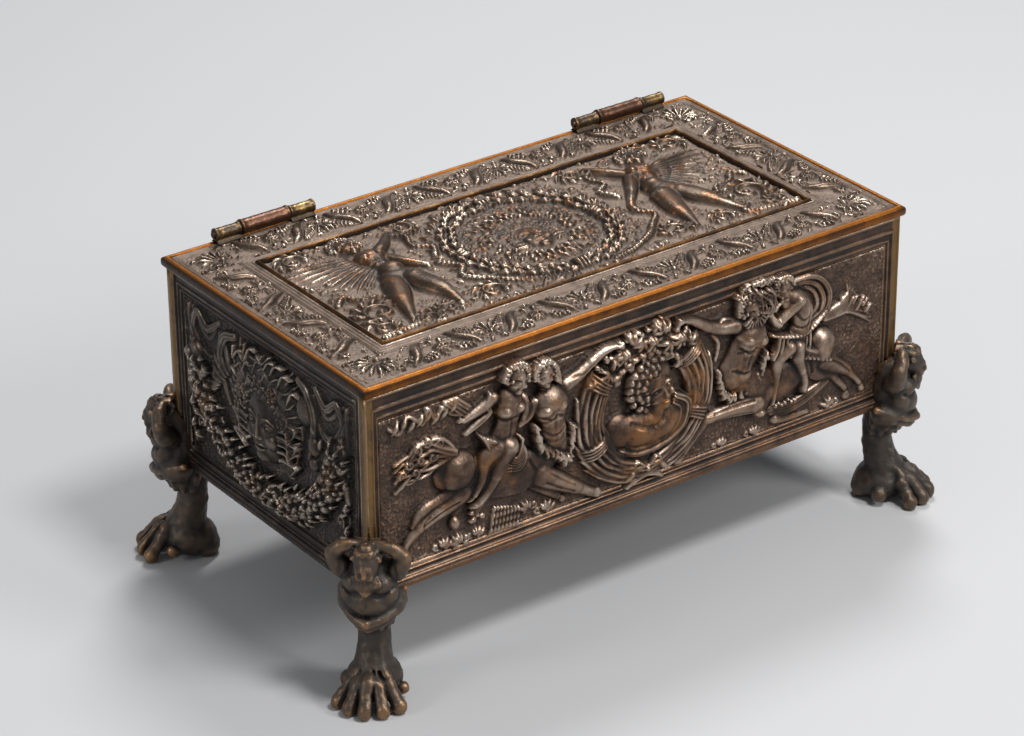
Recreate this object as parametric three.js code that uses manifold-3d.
// Cast bronze writing box on four lion-paw feet, with a lid on two barrel hinges.
// Millimetres, +Z up. The origin is on the floor, under the middle of the box, and the front faces -Y.

import * as THREE from 'three';
import { mergeVertices } from 'three/addons/utils/BufferGeometryUtils.js';
import Module from 'manifold-3d';

const wasm = await Module();
wasm.setup();

// Driving dimensions: box and lid
const lidLength = 210;
const lidDepth = 113;
const lidThickness = 3.6;
const lidOverhang = 1.2;
const lidEdgeChamfer = 1.1;
const lidTopRound = 0.5;
const lidSeatGap = 0.2;
const wallHeight = 67.6;
const wallThickness = 3.4;
const wallGroundDepth = 1.4;
const longFrame = { side: 5.3, low: 6.2, top: 9.8 };
const endFrame = { side: 4.2, low: 7, top: 6.5 };
const frameFirstStep = 0.4;
const frameSecondStep = 0.7;
const frameBeadDrop = 0.3;
const frameOverlap = 3.4;
const plinthProud = 1;
const plinthHeight = 3.2;
const jointGap = 0.1;
const baseThickness = 2;

// Driving dimensions: lid face
const lidRimWidth = 2.1;
const lidGrooveDepth = 0.5;
const lidBandInset = 4.4;
const lidBandWidth = 13.2;
const lidBandDepth = 0.8;
const lidBandRise = 1.2;
const lidScrollSpacing = 18;
const lidLeafLean = 3.8;
const lidLeafWidth = 3.2;
const lidLeafMargin = 1.2;
const lidFlowerLength = 6.2;
const lidFlowerWidth = 4.6;
const lidFieldInset = 22.6;
const lidFieldDepth = 0.9;
const lidRidgeWidth = 1;
const lidRidgeRise = 0.8;

// Driving dimensions: feet and their brackets
const legHeight = 34.6;
const footFit = 0.3;
const bracketThickness = 1.8;
const bracketWidth = 6.4;
const bracketReach = 26;
const rivetShankRadius = 1.15;
const rivetHoleRadius = 1.5;
const rivetHeadRadius = 2.2;
const rivetHeadHeight = 1.6;
const rivetPeenRadius = 2;
const rivetPeenHeight = 0.8;

// Driving dimensions: hinges
const hingeInset = 2.1;
const hingeRise = 2.7;
const pinRadius = 1.2;
const boreRadius = 1.4;
const endKnuckleRadius = 2;
const middleKnuckleRadius = 2.4;
const endKnuckleLength = 9.4;
const middleKnuckleLength = 18;
const knuckleGap = 0.2;
const pinOverhang = 0.6;
const leftHingeInset = 37.2;
const rightHingeInset = 31;
const strapWidth = 14;
const strapThickness = 1.3;
const strapDrop = 6.8;
const strapNotchGap = 0.4;
const strapRivetSpread = 7.6;
const strapRivetRadius = 0.9;
const strapRivetHoleRadius = 1.2;
const strapRivetHeadRadius = 1.7;
const strapRivetHeadHeight = 0.7;
const strapRivetGrip = 2.4;
const solderFootWidth = 3.4;

// How far the relief stands up from its ground, and the height of a foot to the crown of its figure
const wallReliefRise = 6.4;
const lidReliefRise = 2.8;
const footHeight = 56.9;

// How far a limb's blunt end stands out, as a share of its radius
const limbTip = 0.6;

// Sizes and places that follow
const wallTop = legHeight + wallHeight;
const lidBottom = wallTop + lidSeatGap;
const lidTop = lidBottom + lidThickness;
const boxLength = lidLength - 2 * lidOverhang;
const boxDepth = lidDepth - 2 * lidOverhang;
const innerLength = boxLength - 2 * wallThickness;
const innerDepth = boxDepth - 2 * wallThickness;
const bracketBottom = legHeight + jointGap;
const baseBottom = bracketBottom + bracketThickness + jointGap;
const baseTop = baseBottom + baseThickness;
const hingeY = lidDepth / 2 - hingeInset;
const hingeZ = lidTop + hingeRise;
const leftHingeX = leftHingeInset - lidLength / 2;
const rightHingeX = lidLength / 2 - rightHingeInset;
const farAway = 400;

// Materials
const bronze = new THREE.MeshStandardMaterial({ color: 0x4a3324, roughness: 0.42, metalness: 0.8 });
const darkBronze = new THREE.MeshStandardMaterial({ color: 0x33261d, roughness: 0.45, metalness: 0.8 });
const dustyBronze = new THREE.MeshStandardMaterial({ color: 0x5d4a3b, roughness: 0.5, metalness: 0.7 });
const hingeBrass = new THREE.MeshStandardMaterial({ color: 0x6b4c25, roughness: 0.4, metalness: 0.85 });
const copperPin = new THREE.MeshStandardMaterial({ color: 0xb9764f, roughness: 0.35, metalness: 0.9 });

// Solids from geometries, and back

function solidOf(geometry) {
  const plain = geometry.index ? geometry.toNonIndexed() : geometry.clone();
  plain.deleteAttribute('normal');
  plain.deleteAttribute('uv');
  const merged = mergeVertices(plain, 1e-4);
  const kept = [];
  const index = merged.index.array;
  for (let i = 0; i < index.length; i += 3) {
    const [a, b, c] = [index[i], index[i + 1], index[i + 2]];
    if (a !== b && b !== c && c !== a) kept.push(a, b, c);
  }
  return new wasm.Manifold(new wasm.Mesh({
    numProp: 3,
    vertProperties: merged.attributes.position.array,
    triVerts: new Uint32Array(kept),
  }));
}

function geometryOf(solid) {
  const mesh = solid.getMesh();
  const geometry = new THREE.BufferGeometry();
  geometry.setAttribute('position', new THREE.BufferAttribute(new Float32Array(mesh.vertProperties), 3));
  geometry.setIndex(new THREE.BufferAttribute(new Uint32Array(mesh.triVerts), 1));
  geometry.computeVertexNormals();
  return geometry;
}

function joined(solids) {
  return solids.reduce((all, solid) => all.add(solid));
}

// A block from its lowest to its highest corner
function block(low, high) {
  const size = high.map((value, axis) => value - low[axis]);
  const middle = high.map((value, axis) => (value + low[axis]) / 2);
  return solidOf(new THREE.BoxGeometry(...size).translate(...middle));
}

// A four-sided block that runs from one rectangle to another. Each is given by its middle and its two sides.
function loft([x, y, width, height], [topX, topY, topWidth, topHeight], low, high) {
  const corners = [];
  for (const [a, b] of [[-1, -1], [1, -1], [1, 1], [-1, 1]]) {
    corners.push(x + a * width / 2, y + b * height / 2, low);
  }
  for (const [a, b] of [[-1, -1], [1, -1], [1, 1], [-1, 1]]) {
    corners.push(topX + a * topWidth / 2, topY + b * topHeight / 2, high);
  }
  const faces = [0, 2, 1, 0, 3, 2, 4, 5, 6, 4, 6, 7];
  for (let i = 0; i < 4; i++) {
    const j = (i + 1) % 4;
    faces.push(i, j, j + 4, i, j + 4, i + 4);
  }
  const geometry = new THREE.BufferGeometry();
  geometry.setAttribute('position', new THREE.BufferAttribute(new Float32Array(corners), 3));
  geometry.setIndex(faces);
  return solidOf(geometry);
}

// The same with both rectangles centred on [x, y]
function taper([x, y], bottom, top, low, high) {
  return loft([x, y, ...bottom], [x, y, ...top], low, high);
}

// A solid turned about an axis: points are [radius, height] from the axis and back to it
function lathe(points, sides) {
  return new THREE.LatheGeometry(points.map(([r, z]) => new THREE.Vector2(r, z)), sides);
}

// An ellipsoid, turned about Z by a number of degrees
function ball([x, y, z], [rx, ry, rz], turn = 0, sides = 6, rings = 4) {
  const geometry = new THREE.SphereGeometry(1, sides, rings).rotateX(Math.PI / 2);
  geometry.scale(rx, ry, rz).rotateZ(THREE.MathUtils.degToRad(turn)).translate(x, y, z);
  return solidOf(geometry);
}

// A closed limb through a list of [x, y, z, radius] points, with blunt ends
function limb(points, sides = 4) {
  const centres = points.map(([x, y, z]) => new THREE.Vector3(x, y, z));
  const last = points.length - 1;
  const upward = Math.abs(centres[last].z - centres[0].z) > centres[last].distanceTo(centres[0]) * 0.7;
  const across = new THREE.Vector3(upward ? 1 : 0, 0, upward ? 0 : 1);
  const corners = [];
  const tips = [];
  centres.forEach((centre, i) => {
    const ahead = centres[Math.min(i + 1, last)].clone().sub(centres[Math.max(i - 1, 0)]).normalize();
    const side = ahead.clone().cross(across).normalize();
    const up = side.clone().cross(ahead);
    for (let k = 0; k < sides; k++) {
      const angle = 2 * Math.PI * k / sides;
      const spoke = side.clone().multiplyScalar(Math.cos(angle)).addScaledVector(up, Math.sin(angle));
      corners.push(...centre.clone().addScaledVector(spoke, points[i][3]).toArray());
    }
    const outward = i === 0 ? -limbTip : limbTip;
    const tip = centre.clone().addScaledVector(ahead, outward * points[i][3]);
    if (i === 0 || i === last) tips.push(...tip.toArray());
  });
  const count = corners.length / 3;
  const faces = [];
  for (let k = 0; k < sides; k++) {
    const next = (k + 1) % sides;
    for (let ring = 0; ring < last; ring++) {
      const [a, b] = [ring * sides + k, ring * sides + next];
      faces.push(a, b + sides, b, a, a + sides, b + sides);
    }
    faces.push(count, k, next, count + 1, last * sides + next, last * sides + k);
  }
  const geometry = new THREE.BufferGeometry();
  geometry.setAttribute('position', new THREE.BufferAttribute(new Float32Array([...corners, ...tips]), 3));
  geometry.setIndex(faces);
  return solidOf(geometry);
}

// Relief figures. Each is a list of solids on a field whose ground is z = 0, x to the right and y up.
// A whole relief also has the width, height and rise it is drawn to, from which it is stretched to its field.
// side is 1 for the right-hand figure and -1 for its mirror image on the left.

function bust() {
  return [
    ball([0.5, -8.6, 0], [15, 7, 4.5], 0, 6, 3),
    limb([[0.5, -5, 1, 3.8], [1, 1.5, 2.4, 3.4]]),
    ball([1, 7.2, 2.4], [5.6, 7.4, 4], -6, 6, 4),
    ball([-2, 9.6, 1.6], [7.4, 6.6, 3.6], 20, 6, 3),
  ];
}

function wreath(radius, tube, height) {
  const ring = new THREE.TorusGeometry(radius, tube, 5, 14).scale(1, 1, height / tube);
  const made = [solidOf(ring)];
  for (const angle of [45, 135, 225, 315]) {
    const [x, y] = onCircle(radius, angle);
    made.push(ball([x, y, 0], [tube * 1.16, 1.9, height * 1.18], angle, 6, 3));
  }
  return made;
}

function onCircle(radius, angle) {
  const turned = THREE.MathUtils.degToRad(angle);
  return [radius * Math.cos(turned), radius * Math.sin(turned)];
}

function centaur(side) {
  const s = (x) => side * x;
  return [
    limb([[s(75), 0.5, 0.6, 5.4], [s(69.5), -0.5, 0.6, 7.8], [s(53), -6.4, 0.4, 6.6], [s(40), -6, 0.6, 6.8]]),
    limb([[s(75), -5, 0.8, 4], [s(83), -10.5, 0.6, 2.4], [s(89.5), -21.5, 0.4, 1.7]]),
    limb([[s(68), -8, 0.6, 3.4], [s(72.5), -16, 0.4, 2], [s(73), -23, 0.3, 1.6]]),
    limb([[s(41), -9.5, 1, 4], [s(31), -17, 0.8, 2.6], [s(19.5), -24, 0.6, 1.9]]),
    limb([[s(46), -11, 0.4, 3], [s(38), -18.5, 0.2, 1.9], [s(33), -23.5, 0.2, 1.5]]),
    limb([[s(36.5), -3, 1.2, 5.2], [s(37), 8, 1.4, 6], [s(37.5), 14.5, 1.4, 4.8]]),
    ball([s(40.5), 23.6, 1.8], [4.6, 5.2, 3.8], side * 12),
    limb([[s(33), 15, 1.6, 2.8], [s(23), 20, 1.2, 2.1], [s(12), 23.6, 1, 1.8]]),
    limb([[s(77), 6, 0.6, 2.2], [s(83), 11.5, 0.6, 3.6], [s(90), 8.5, 0.4, 2.6], [s(93.5), 2.5, 0.3, 1.4]]),
  ];
}

function rider(side) {
  const s = (x) => side * x;
  return [
    limb([[s(57), 1, 3, 4.8], [s(54.5), 10, 2.4, 3.6], [s(53.5), 16.5, 2.4, 4.2]]),
    ball([s(51.8), 24, 2.4], [4.9, 5.4, 3.6], side * -14),
    limb([[s(52), 16.5, 3, 2], [s(46), 14.5, 3, 1.8]]),
    limb([[s(57.5), 17, 2, 2.1], [s(64), 15.5, 1.6, 1.8], [s(69), 16.5, 1.2, 1.5]]),
    limb([[s(59), 0, 4, 3.4], [s(61.5), -5.5, 4, 2.6], [s(66), -13, 3, 1.7]]),
    limb([[s(54), -1, 4.2, 3], [s(57), -8, 4.2, 2.4], [s(63), -13.5, 3, 1.5]]),
    limb([[s(70), 17, 0.6, 1.8], [s(78), 21.5, 0.4, 1.6], [s(90), 21, 0.3, 1.2]]),
  ];
}

function longRelief() {
  const middle = [...wreath(21.6, 4.8, 3.2), ...bust()].map((solid) => solid.translate([0, 0.6, 0]));
  const figures = [centaur(-1), rider(-1), centaur(1), rider(1)].flat();
  return { drawn: [197, 51.6, 6.4], solids: [...middle, ...figures] };
}

function maskHead() {
  return [
    ball([1, 1.2, 0.5], [7.4, 10.4, 4.8], 0, 8, 4),
    ball([1, 13.4, 0], [13, 9.6, 3.8], 0, 8, 4),
    ball([-10, 4, 0], [4.8, 10, 2.8]),
    ball([12, 4, 0], [4.8, 10, 2.8]),
    ball([1, 0.4, 4.4], [1.6, 3.8, 1.9], 0, 6, 4),
    ball([1, -7.2, 3], [3.6, 2.6, 2]),
  ];
}

function maskWing(side) {
  return [
    ball([side * 21.5, 12, 0], [10, 5.4, 2.2], side * 32),
    ball([side * 24.5, 5.5, 0], [9.5, 4.4, 1.8], side * 14),
  ];
}

function swag() {
  const made = [];
  const lumps = 8;
  for (let i = 0; i < lumps; i++) {
    const share = 2 * i / (lumps - 1) - 1;
    const x = 38.5 * Math.sign(share) * Math.abs(share) ** 0.92;
    const y = -17.5 + 26 * Math.abs(share) ** 2.1;
    const size = 5.4 - 1.7 * Math.abs(share);
    made.push(ball([x, y, 0], [size * 1.4, size, 3.2], 50 * share, 6, 3));
  }
  return made;
}

function tieRibbon(side) {
  return [
    ball([side * 38.5, 15.5, 0], [3, 2.4, 2.2]),
    limb([[side * 39, 15, 0, 1.4], [side * 39.5, 23.5, 0, 1.1]]),
    limb([[side * 42, 12, 0, 1.3], [side * 43.5, 1, 0, 1], [side * 42, -9, 0, 0.9]]),
  ];
}

function endRelief() {
  const beside = [-1, 1].flatMap((side) => [...maskWing(side), ...tieRibbon(side)]);
  return { drawn: [95, 54.1, 6.4], solids: [...maskHead(), ...swag(), ...beside] };
}

// A winged child: places on the field for its trunk, its limbs and the middle of its wing
function genius({ head, chest, hip, arms, legs, wing, wingTurn }) {
  const path = (places, radii, z) => limb(places.map(([x, y], i) => [x, y, z, radii[i]]));
  return [
    limb([[...hip, 0.4, 5.4], [...chest, 0.6, 4.8]], 5),
    ball([...head, 0.6], [4.3, 4.9, 3.6]),
    ball([...wing, 0], [10.5, 6, 2.4], wingTurn, 6, 3),
    ...arms.map((places) => path(places, [2.6, 2.1, 1.4], 0.6)),
    ...legs.map((places) => path(places, [4.6, 3.1, 1.6], 0.2)),
  ];
}

function leftGenius() {
  return genius({
    head: [-56, 25.2],
    chest: [-54.6, 14],
    hip: [-54.6, 0.4],
    arms: [[[-51, 16.6], [-45, 21.4], [-40, 26.8]], [[-50.6, 13], [-47.4, 6.6], [-42, 0.8]]],
    legs: [[[-57.8, -4], [-62.4, -15], [-66.2, -26.6]], [[-50.6, -5], [-48, -15.4], [-48.2, -26.6]]],
    wing: [-69.5, 14],
    wingTurn: -12,
  });
}

function rightGenius() {
  return genius({
    head: [57, 25],
    chest: [51.8, 14.4],
    hip: [50.8, 0.6],
    arms: [[[47.2, 17], [43, 22.4], [39, 27.6]], [[47, 13], [42.8, 6.6], [37.4, 0]]],
    legs: [[[47.6, -4.4], [45, -15.6], [43, -26.8]], [[54, -4.4], [59, -15.6], [62.8, -26.8]]],
    wing: [67.5, 12],
    wingTurn: -8,
  });
}

// Leafy scrolls in the corners, and the ribbon that hangs from a hand to the wreath's foot
function lidFoliage(side) {
  const scrolls = [[72, -17, 6.2], [77, -27, 4.2], [74.5, 27.5, 4.6], [36, -25.5, 4.4], [53.5, -27.5, 3.4]];
  const ribbon = [[40, 1], [36, -7], [38.5, -13], [31, -23], [20, -29], [8, -31]];
  return [
    ...scrolls.map(([x, y, size]) => ball([side * x, y, 0], [size, size * 0.9, 2.2], 0, 6, 3)),
    limb(ribbon.map(([x, y]) => [side * x, y, -0.2, 1.8]), 4),
  ];
}

function lidWreath() {
  const ring = (radius, tube, height, steps) => (
    solidOf(new THREE.TorusGeometry(radius, tube, 6, steps).scale(1, 1, height / tube))
  );
  const made = [
    ring(26.8, 5.2, 3.2, 15),
    ring(15.6, 4.4, 2.2, 12),
    ball([0, -2, 0.5], [5.8, 8.4, 3.8], 0, 7, 4),
  ];
  return made.map((solid) => solid.translate([-3.2, -0.8, 0]));
}

function lidRelief() {
  const beside = [...leftGenius(), ...rightGenius(), ...lidFoliage(-1), ...lidFoliage(1)];
  return { drawn: [164.8, 67.8, 4.8], solids: [...lidWreath(), ...beside] };
}

// Stretches a relief to a real field's width, height and rise, and drops what would lie beyond it
function fitted({ drawn, solids }, field, overhang) {
  const scale = field.map((size, axis) => size / drawn[axis]);
  const [x, y] = [field[0] / 2 + overhang, field[1] / 2 + overhang];
  const window = block([-x, -y, -0.6], [x, y, farAway]);
  return joined(solids).scale(scale).intersect(window);
}

// Walls. A wall lies with its inner face on z = 0, its foot on y = 0 and its frame at z = wallThickness.

function plinth(length) {
  const profile = new THREE.Shape();
  const face = wallThickness;
  profile.moveTo(face - 0.5, 0);
  profile.lineTo(face + plinthProud * 0.7, 0);
  profile.lineTo(face + plinthProud, plinthHeight * 0.15);
  profile.lineTo(face + plinthProud, plinthHeight * 0.45);
  profile.lineTo(face + plinthProud * 0.3, plinthHeight * 0.7);
  profile.lineTo(face, plinthHeight);
  profile.lineTo(face - 0.5, plinthHeight);
  profile.closePath();
  const geometry = new THREE.ExtrudeGeometry(profile, { depth: length, bevelEnabled: false });
  // The profile's x is the wall's outward direction, and the extrusion runs along the wall
  geometry.rotateY(-Math.PI / 2).translate(length / 2, 0, 0);
  return solidOf(geometry);
}

function framedWall(length, frame) {
  const face = wallThickness;
  const inset = (share) => [
    0,
    (wallHeight + (frame.low - frame.top) * share) / 2,
    length - 2 * frame.side * share,
    wallHeight - (frame.low + frame.top) * share,
  ];
  const cut = (outer, inner, depth) => loft(inset(inner), inset(outer), face - depth, face + 0.01);
  const ring = (outer, inner, depth) => {
    const rim = loft(inset(outer), inset(outer + 0.02), face - wallGroundDepth, face - depth);
    return rim.subtract(loft(inset(inner), inset(inner), 0, farAway));
  };
  const slab = block([-length / 2, 0, 0], [length / 2, wallHeight, face]);
  return slab
    .subtract(cut(0.5, 0.56, frameFirstStep))
    .subtract(cut(0.72, 0.78, frameSecondStep))
    .subtract(cut(0.96, 1, wallGroundDepth))
    .add(ring(0.8, 0.88, frameBeadDrop));
}

// A wall with its frame, its plinth and a relief that fills the field inside the frame
function reliefWall(length, frame, relief) {
  const field = [length - 2 * frame.side, wallHeight - frame.low - frame.top, wallReliefRise];
  const middle = (wallHeight + frame.low - frame.top) / 2;
  return framedWall(length, frame)
    .add(fitted(relief, field, frameOverlap).translate([0, middle, wallThickness - wallGroundDepth]))
    .add(plinth(length));
}

function longWall() {
  return reliefWall(boxLength, longFrame, longRelief());
}

// The back wall also has the holes for the strap rivets, and its relief stays clear of the straps
function backWall() {
  const cuts = [leftHingeX, rightHingeX].flatMap((hingeX) => {
    const half = strapWidth / 2 + strapNotchGap;
    const low = wallHeight - strapDrop - strapNotchGap;
    const holes = strapRivetSpots().map(([x, z]) => (
      upright(strapRivetHoleRadius, wallThickness - strapRivetGrip - strapNotchGap, farAway)
        .translate([-hingeX - x, z - legHeight, 0])
    ));
    return [...holes, block([-hingeX - half, low, wallThickness], [-hingeX + half, farAway, farAway])];
  });
  return longWall().subtract(joined(cuts));
}

function endWall() {
  return reliefWall(innerDepth - 2 * jointGap, endFrame, endRelief());
}

// Base plate, with a hole for each foot rivet

function rivetPlaces() {
  const inset = bracketWidth / 2 + jointGap + 0.2;
  const [x, y] = [innerLength / 2, innerDepth / 2];
  const reach = bracketReach - bracketWidth / 2;
  const places = [];
  for (const [sx, sy] of [[-1, -1], [1, -1], [1, 1], [-1, 1]]) {
    places.push([sx * (x - reach), sy * (y - inset)]);
    places.push([sx * (x - inset), sy * (y - reach)]);
  }
  return places;
}

function upright(radius, low, high, sides = 6) {
  const cylinder = new THREE.CylinderGeometry(radius, radius, high - low, sides);
  return solidOf(cylinder.rotateX(Math.PI / 2).translate(0, 0, (low + high) / 2));
}

function basePlate() {
  const [x, y] = [innerLength / 2 - jointGap, innerDepth / 2 - jointGap];
  const plate = block([-x, -y, baseBottom], [x, y, baseTop]);
  const holes = rivetPlaces().map(([hx, hy]) => (
    upright(rivetHoleRadius, baseBottom - 1, baseTop + 1).translate([hx, hy, 0])
  ));
  return plate.subtract(joined(holes));
}

// The hidden shank passes through bracket and base plate, and its end is hammered over inside the box
function footRivet() {
  const low = bracketBottom - rivetHeadHeight;
  const high = baseTop + rivetPeenHeight + 0.05;
  const seat = baseTop + 0.05;
  return lathe([
    [0, low], [rivetHeadRadius * 0.75, low + rivetHeadHeight * 0.3], [rivetHeadRadius, bracketBottom - 0.05],
    [rivetShankRadius, bracketBottom - 0.05], [rivetShankRadius, seat],
    [rivetPeenRadius, seat], [0, high],
  ], 6).rotateX(Math.PI / 2);
}

// Feet. x points outward along the corner's diagonal, y across it, and the walls' corner edge is over x = 0.
// Paw and figure are drawn 56.9 high, from the floor to the crown of the head.

function paw() {
  const toes = [[-8.6, 8.8], [-3, 11.8], [3, 11.8], [8.6, 8.8]].map(([across, reach]) => limb([
    [reach - 12.7, across * 0.62, 10, 3.2],
    [reach - 4.4, across * 0.96, 6, 3.9],
    [reach + 2.2, across * 1.03, 1.2, 1.6],
  ]));
  return [
    ...toes,
    ball([-1, 0, 3.6], [11.2, 8.6, 5.6], 0, 7, 3),
  ];
}

function atlas() {
  const arms = [-1, 1].flatMap((side) => limb([
    [0.2, side * 6.6, 42.6, 3.2],
    [-0.6, side * 12, 44.6, 2.9],
    [3.4, side * 5, 53, 2.7],
  ]));
  return [
    ...arms,
    limb([[-3.4, 0, 7, 7.8], [-3.4, 0, 14.5, 6.2], [-3.8, 0, 23.5, 4.7], [-3, 0, 31, 7]], 6),
    ball([-2.4, 0, 32.6], [8.2, 9.2, 2.8], 0, 8, 2),
    limb([[-1.2, 0, 33, 6.8], [-0.2, 0, 40, 8], [1.4, 0, 45.5, 5.8], [4, 0, 49.5, 3.8]], 6),
    ball([5, 0, 51], [4.7, 4.6, 5.2], 0, 6, 4),
    ball([2.4, 0, 54], [5.2, 6, 2.9], 0, 6, 3),
  ];
}

// The corner of the box that the foot wraps, a little larger than the walls and their plinth
function cornerRoom() {
  const plan = 60;
  const corner = (clearance, low, high) => {
    const room = new THREE.BoxGeometry(plan, plan, high - low);
    room.translate(-plan / 2, -plan / 2, (low + high) / 2).rotateZ(-Math.PI / 4);
    return solidOf(room.translate(clearance * Math.SQRT2, 0, 0));
  };
  const low = legHeight - footFit;
  return corner(footFit, low, low + plan)
    .add(corner(footFit + plinthProud, low, legHeight + plinthHeight + footFit));
}

// An angle plate inside the walls, riveted under the base, with the block that joins it to the leg
function bracket() {
  const inset = wallThickness + jointGap + 0.2;
  const outline = new THREE.Shape();
  outline.moveTo(0, 0);
  outline.lineTo(-bracketReach, 0);
  outline.lineTo(-bracketReach, -bracketWidth);
  outline.lineTo(-bracketWidth * 1.6, -bracketWidth);
  outline.lineTo(-bracketWidth, -bracketWidth * 1.6);
  outline.lineTo(-bracketWidth, -bracketReach);
  outline.lineTo(0, -bracketReach);
  outline.closePath();
  const reach = bracketReach - bracketWidth / 2 - 0.2;
  for (const [x, y] of [[-reach, -bracketWidth / 2], [-bracketWidth / 2, -reach]]) {
    const hole = new THREE.Path();
    hole.absarc(x, y, rivetHoleRadius, 0, Math.PI * 2, true);
    outline.holes.push(hole);
  }
  const plate = new THREE.ExtrudeGeometry(outline, {
    depth: bracketThickness, bevelEnabled: false, curveSegments: 3,
  });
  plate.translate(-inset, -inset, bracketBottom).rotateZ(-Math.PI / 4);
  const neck = new THREE.BoxGeometry(bracketWidth, bracketWidth, 3.2);
  const middle = -inset - bracketWidth / 2;
  neck.translate(middle, middle, bracketBottom - 1.2).rotateZ(-Math.PI / 4);
  return solidOf(plate).add(solidOf(neck));
}

function foot() {
  const floor = block([-farAway, -farAway, -farAway], [farAway, farAway, 0]);
  const figure = joined([...paw(), ...atlas()]).scale(footHeight / 56.9);
  return figure.subtract(floor).subtract(cornerRoom()).add(bracket());
}

// Hinges. Each is made about x = 0 and then moved along the back edge.

function alongX(radius, low, high, sides = 10) {
  const cylinder = new THREE.CylinderGeometry(radius, radius, high - low, sides);
  return solidOf(cylinder.rotateZ(Math.PI / 2).translate((low + high) / 2, hingeY, hingeZ));
}

function bored(solid) {
  return solid.subtract(alongX(boreRadius, -farAway, farAway));
}

function backStrap() {
  const half = middleKnuckleLength / 2;
  const inner = boxDepth / 2 + jointGap;
  const strap = block(
    [-strapWidth / 2, inner, wallTop - strapDrop],
    [strapWidth / 2, inner + strapThickness, hingeZ],
  );
  const holes = strapRivetSpots().map(([x, z]) => alongY(strapRivetHoleRadius, x, z));
  return bored(alongX(middleKnuckleRadius, -half, half).add(strap)).subtract(joined(holes));
}

function endKnuckle(low, high) {
  const knuckle = alongX(endKnuckleRadius, low, high);
  const width = solderFootWidth;
  const foot = taper(
    [(low + high) / 2, hingeY], [high - low - 0.6, width], [high - low - 1.2, width * 0.7],
    lidTop + 0.05, hingeZ - endKnuckleRadius * 0.4,
  );
  return bored(knuckle.add(foot));
}

function hingePin() {
  const half = middleKnuckleLength / 2 + knuckleGap + endKnuckleLength;
  return alongX(pinRadius, -half - pinOverhang, half - 1.2);
}

function strapRivetSpots() {
  const z = wallTop - strapDrop + 2.6;
  return [[-strapRivetSpread / 2, z], [strapRivetSpread / 2, z]];
}

function alongY(radius, x, z) {
  const cylinder = new THREE.CylinderGeometry(radius, radius, 20, 6);
  return solidOf(cylinder.translate(x, boxDepth / 2, z));
}

function strapRivet() {
  const face = boxDepth / 2 + jointGap + strapThickness + 0.05;
  return lathe([
    [0, boxDepth / 2 - strapRivetGrip], [strapRivetRadius, boxDepth / 2 - strapRivetGrip],
    [strapRivetRadius, face], [strapRivetHeadRadius, face],
    [0, face + strapRivetHeadHeight],
  ], 6);
}

// Lid, made with its top face on z = 0 and its centre on the axis

function lidSize(inset) {
  return [lidLength - 2 * inset, lidDepth - 2 * inset];
}

function lidRing(outer, inner, low, high) {
  return taper([0, 0], lidSize(outer), lidSize(outer), low, high)
    .subtract(taper([0, 0], lidSize(inner), lidSize(inner), low - 1, high + 1));
}

function lidSlab() {
  const corner = lidEdgeChamfer - lidThickness;
  const lowEdge = taper([0, 0], lidSize(lidEdgeChamfer), lidSize(0), -lidThickness, corner);
  const side = taper([0, 0], lidSize(0), lidSize(0), corner, -lidTopRound);
  const round = taper([0, 0], lidSize(0), lidSize(lidTopRound), -lidTopRound, 0);
  return joined([lowEdge, side, round]);
}

function scrollBand() {
  const made = [];
  const middle = lidBandInset + lidBandWidth / 2;
  for (const [length, offset, turn] of [
    [lidLength, lidDepth / 2 - middle, 0], [lidLength, lidDepth / 2 - middle, 180],
    [lidDepth, lidLength / 2 - middle, 90], [lidDepth, lidLength / 2 - middle, 270],
  ]) {
    const run = length - 2 * (lidBandInset + lidBandWidth);
    const count = Math.round(run / lidScrollSpacing);
    const step = run / count;
    for (let i = 0; i < count; i++) {
      const x = -run / 2 + step * (i + 0.5);
      const lean = i % 2 ? 1 : -1;
      made.push(scrollLeaf(x, offset, lean).rotate([0, 0, turn]));
      if (i) made.push(flower(x - step / 2, offset).rotate([0, 0, turn]));
    }
    if (length === lidLength) {
      const corner = lidLength / 2 - middle;
      made.push(flower(corner, offset).rotate([0, 0, turn]));
      made.push(flower(-corner, offset).rotate([0, 0, turn]));
    }
  }
  return made;
}

function scrollLeaf(x, y, lean) {
  const outline = new THREE.Shape();
  const [w, h, thick] = [lean * lidLeafLean, lidBandWidth / 2 - lidLeafMargin, lidLeafWidth];
  outline.moveTo(-w, -h);
  outline.bezierCurveTo(-w * 0.1, -h, w * 0.2, h, w, h);
  outline.lineTo(w + thick, h);
  outline.bezierCurveTo(w * 0.2 + thick, h, -w * 0.1 + thick, -h, -w + thick, -h);
  outline.closePath();
  const leaf = new THREE.ExtrudeGeometry(outline, {
    depth: lidBandRise + 0.4, bevelEnabled: false, curveSegments: 2,
  });
  return solidOf(leaf.translate(x - thick / 2, y, -lidBandDepth - 0.4));
}

function flower(x, y) {
  return ball([x, y, -lidBandDepth], [lidFlowerLength, lidFlowerWidth, lidBandRise * 0.9], 0, 6, 3);
}

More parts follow.
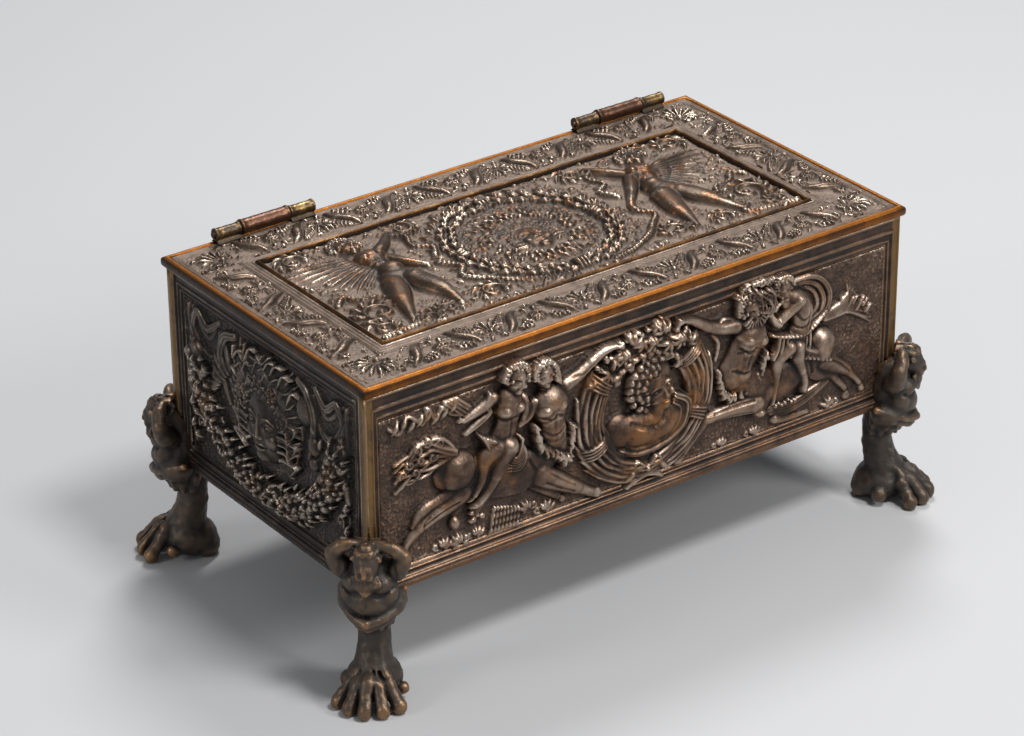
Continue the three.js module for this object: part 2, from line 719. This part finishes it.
function lid() {
  const bandEnd = lidBandInset + lidBandWidth;
  const field = lidSize(lidFieldInset);
  const ridge = lidFieldInset - lidRidgeWidth;
  const relief = fitted(lidRelief(), [...field, lidReliefRise], 0);
  const ridgeTop = lidSize(ridge + lidRidgeWidth * 0.25);
  const raised = taper([0, 0], lidSize(ridge), ridgeTop, -lidFieldDepth, lidRidgeRise);
  const window = taper([0, 0], field, lidSize(lidFieldInset - 0.3), -lidFieldDepth, lidRidgeRise + 0.01);
  let made = lidSlab()
    .subtract(lidRing(lidRimWidth, lidRimWidth + 0.4, -lidGrooveDepth, 0.01))
    .subtract(lidRing(lidRimWidth + 1, lidBandInset, -lidGrooveDepth, 0.01))
    .subtract(lidRing(lidBandInset, bandEnd, -lidBandDepth, 0.01))
    .subtract(lidRing(bandEnd + 0.9, bandEnd + 1.5, -lidGrooveDepth, 0.01))
    .subtract(lidRing(bandEnd + 2.3, bandEnd + 2.8, -lidGrooveDepth, 0.01))
    .add(raised)
    .subtract(window)
    .add(joined(scrollBand()))
    .add(relief.translate([0, 0, -lidFieldDepth]));
  for (const x of [leftHingeX, rightHingeX]) {
    const half = strapWidth / 2 + strapNotchGap;
    const notchFront = boxDepth / 2 + jointGap - strapNotchGap;
    made = made.subtract(block([x - half, notchFront, -farAway], [x + half, farAway, farAway]));
  }
  return made;
}

// The assembly

const box = new THREE.Group();

function place(name, made, material, parent = box) {
  const geometry = made.isBufferGeometry ? geometryOf(solidOf(made)) : geometryOf(made);
  const mesh = new THREE.Mesh(geometry, material);
  mesh.name = name;
  parent.add(mesh);
  return mesh;
}

// Walls stand up from their drawn position, and turn to face outward
function standWall(name, solid, material, turn, distance) {
  const turned = new THREE.Group();
  turned.rotation.z = THREE.MathUtils.degToRad(turn);
  const wall = place(name, solid, material, turned);
  wall.rotation.x = Math.PI / 2;
  wall.position.set(0, -(distance - wallThickness), legHeight);
  box.add(turned);
}

const endWallSolid = endWall();
standWall('front_panel', longWall(), bronze, 0, boxDepth / 2);
standWall('back_panel', backWall(), bronze, 180, boxDepth / 2);
standWall('left_panel', endWallSolid, darkBronze, 270, boxLength / 2);
standWall('right_panel', endWallSolid, darkBronze, 90, boxLength / 2);
place('base_plate', basePlate(), darkBronze);

const footSolid = foot();
for (const [name, x, y] of [
  ['front_left', -1, -1], ['front_right', 1, -1], ['back_right', 1, 1], ['back_left', -1, 1],
]) {
  const mesh = place(`foot_${name}`, footSolid, bronze);
  mesh.rotation.z = Math.atan2(y, x);
  mesh.position.set(x * boxLength / 2, y * boxDepth / 2, 0);
}
const rivetNames = ['front_left', 'front_right', 'back_right', 'back_left']
  .flatMap((name) => [`foot_rivet_${name}_long`, `foot_rivet_${name}_end`]);
rivetPlaces().forEach(([x, y], i) => {
  place(rivetNames[i], footRivet(), darkBronze).position.set(x, y, 0);
});

place('lid', lid(), dustyBronze).position.z = lidTop;

for (const [name, x] of [['left', leftHingeX], ['right', rightHingeX]]) {
  const hinge = new THREE.Group();
  hinge.position.x = x;
  box.add(hinge);
  const inner = middleKnuckleLength / 2 + knuckleGap;
  const outer = inner + endKnuckleLength;
  place(`${name}_hinge_strap`, backStrap(), hingeBrass, hinge);
  place(`${name}_hinge_knuckle_a`, endKnuckle(-outer, -inner), hingeBrass, hinge);
  place(`${name}_hinge_knuckle_b`, endKnuckle(inner, outer), hingeBrass, hinge);
  place(`${name}_hinge_pin`, hingePin(), copperPin, hinge);
  strapRivetSpots().forEach(([rx, rz], i) => {
    place(`${name}_strap_rivet_${'ab'[i]}`, strapRivet(), hingeBrass, hinge).position.set(rx, 0, rz);
  });
}

export default box;
